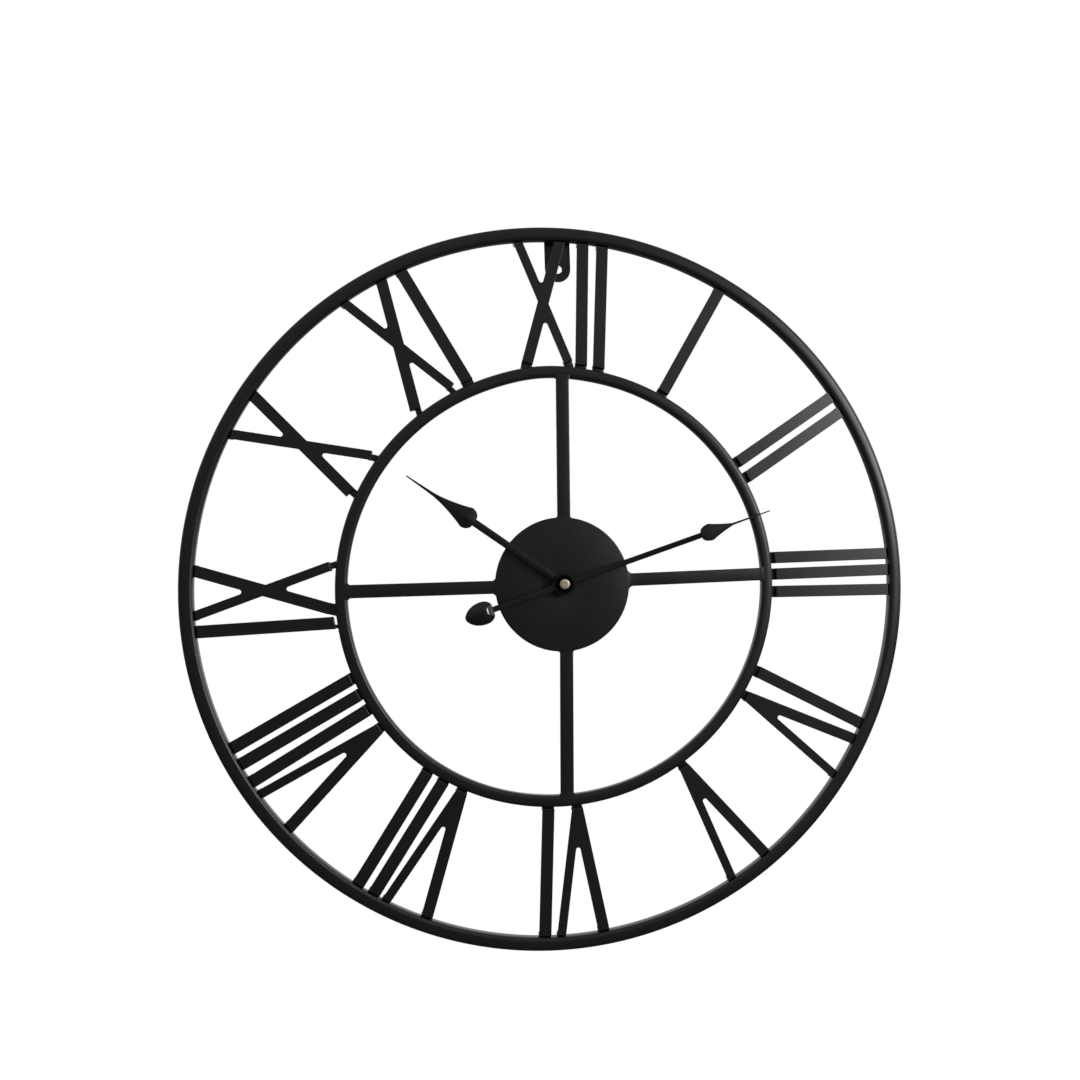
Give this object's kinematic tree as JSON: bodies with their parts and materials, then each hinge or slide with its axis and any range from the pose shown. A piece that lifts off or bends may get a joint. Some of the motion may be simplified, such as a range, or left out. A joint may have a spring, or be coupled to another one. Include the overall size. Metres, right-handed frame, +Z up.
{
  "type": "wall clock",
  "caption": "Skeleton wall clock: two square-tube rings, cut-out Roman numerals, cross spokes, a hub hiding a quartz movement, and spade hands with a counterweight.",
  "frame": {"origin": "where the hands' axis meets the flat back of the movement, which rests on the wall", "axes": "+Z up, +Y out of the back towards the wall, so the dial faces -Y; +X is to the right for someone facing the dial"},
  "size_m": [0.5008, 0.0329, 0.5008],
  "materials": {
    "black_paint": "satin black powder coat",
    "hand_black": "smooth satin black lacquer",
    "gloss_black": "gloss black enamel",
    "brass": "turned, slightly dulled",
    "dark_brass": "blackened brass",
    "case_black": "fine moulded texture",
    "white_plastic": "moulded",
    "rubber": "matt",
    "steel": "plated sheet",
    "copper": "varnished copper wire",
    "board_green": "solder mask",
    "magnet": "sintered",
    "battery_wrap": "glossy plastic sleeve on a steel can"
  },
  "bodies": {
    "clock": {"outer_ring": "black_paint", "inner_ring": "black_paint", "hub_disc": "black_paint", "spoke_top": "black_paint", "spoke_right": "black_paint", "spoke_bottom": "black_paint", "spoke_left": "black_paint", "hanger_tab": "black_paint", "numeral_01_i": "black_paint", "numeral_02_i_1": "black_paint", "numeral_02_i_2": "black_paint", "numeral_03_i_1": "black_paint", "numeral_03_i_2": "black_paint", "numeral_03_i_3": "black_paint", "numeral_04_i": "black_paint", "numeral_04_v": "black_paint", "numeral_05_v": "black_paint", "numeral_06_v": "black_paint", "numeral_06_i": "black_paint", "numeral_07_v": "black_paint", "numeral_07_i_1": "black_paint", "numeral_07_i_2": "black_paint", "numeral_08_v": "black_paint", "numeral_08_i_1": "black_paint", "numeral_08_i_2": "black_paint", "numeral_08_i_3": "black_paint", "numeral_09_i": "black_paint", "numeral_09_x": "black_paint", "numeral_10_x": "black_paint", "numeral_11_x": "black_paint", "numeral_11_i": "black_paint", "numeral_12_x": "black_paint", "numeral_12_i_1": "black_paint", "numeral_12_i_2": "black_paint", "mounting_nut": "dark_brass", "mounting_washer": "dark_brass", "gasket": "rubber", "movement_case": "case_black", "rear_cover": "case_black", "train_plate": "white_plastic", "stator": "steel", "coil": "copper", "circuit_board": "board_green", "quartz_crystal": "steel", "contact_positive": "steel", "contact_negative": "steel"},
    "minute_hand": {"minute_shaft": "brass", "minute_hand": "hand_black", "counterweight": "gloss_black", "hand_nut": "brass"},
    "hour_hand": {"hour_wheel": "white_plastic", "hour_hand": "hand_black"},
    "motion_wheel": {"motion_wheel": "white_plastic"},
    "setting_knob": {"setting_knob": "white_plastic"},
    "rotor": {"rotor": "magnet"},
    "intermediate_wheel": {"intermediate_wheel": "white_plastic"},
    "second_wheel": {"second_wheel": "white_plastic"},
    "third_wheel": {"third_wheel": "white_plastic"},
    "centre_wheel": {"centre_wheel": "white_plastic"},
    "battery": {"battery": "battery_wrap"}
  },
  "joints": [
    {"name": "minute_hand_turn", "type": "hinge", "parent": "clock", "child": "minute_hand", "pos_m": [0, 0, 0], "axis": [0, 1, 0], "continuous": true},
    {"name": "hour_hand_turn", "type": "hinge", "parent": "clock", "child": "hour_hand", "pos_m": [0, 0, 0], "axis": [0, 1, 0], "continuous": true},
    {"name": "motion_wheel_turn", "type": "hinge", "parent": "clock", "child": "motion_wheel", "pos_m": [-0.0052, 0, 0.003], "axis": [0, 1, 0], "continuous": true},
    {"name": "setting_knob_turn", "type": "hinge", "parent": "clock", "child": "setting_knob", "pos_m": [-0.01039, 0, 0.006], "axis": [0, 1, 0], "continuous": true},
    {"name": "rotor_turn", "type": "hinge", "parent": "clock", "child": "rotor", "pos_m": [-0.00584, 0, 0.01174], "axis": [0, 1, 0], "continuous": true},
    {"name": "intermediate_wheel_turn", "type": "hinge", "parent": "clock", "child": "intermediate_wheel", "pos_m": [-0.00052, 0, 0.01268], "axis": [0, 1, 0], "continuous": true},
    {"name": "second_wheel_turn", "type": "hinge", "parent": "clock", "child": "second_wheel", "pos_m": [0.00569, 0, 0.01158], "axis": [0, 1, 0], "continuous": true},
    {"name": "third_wheel_turn", "type": "hinge", "parent": "clock", "child": "third_wheel", "pos_m": [0.00701, 0, 0.00405], "axis": [0, 1, 0], "continuous": true},
    {"name": "centre_wheel_turn", "type": "hinge", "parent": "clock", "child": "centre_wheel", "pos_m": [0, 0, 0], "axis": [0, 1, 0], "continuous": true},
    {"name": "battery_slide", "type": "slide", "parent": "clock", "child": "battery", "axis": [0, 1, 0], "range_m": [0, 0.03]}
  ],
  "couplings": [
    {"joint": "hour_hand_turn", "follows": "minute_hand_turn", "ratio": 0.083333},
    {"joint": "motion_wheel_turn", "follows": "minute_hand_turn", "ratio": -0.33333},
    {"joint": "setting_knob_turn", "follows": "minute_hand_turn", "ratio": 1},
    {"joint": "intermediate_wheel_turn", "follows": "rotor_turn", "ratio": -0.2},
    {"joint": "second_wheel_turn", "follows": "rotor_turn", "ratio": 0.033333},
    {"joint": "third_wheel_turn", "follows": "rotor_turn", "ratio": -0.0044444},
    {"joint": "centre_wheel_turn", "follows": "rotor_turn", "ratio": 0.00055556}
  ]
}
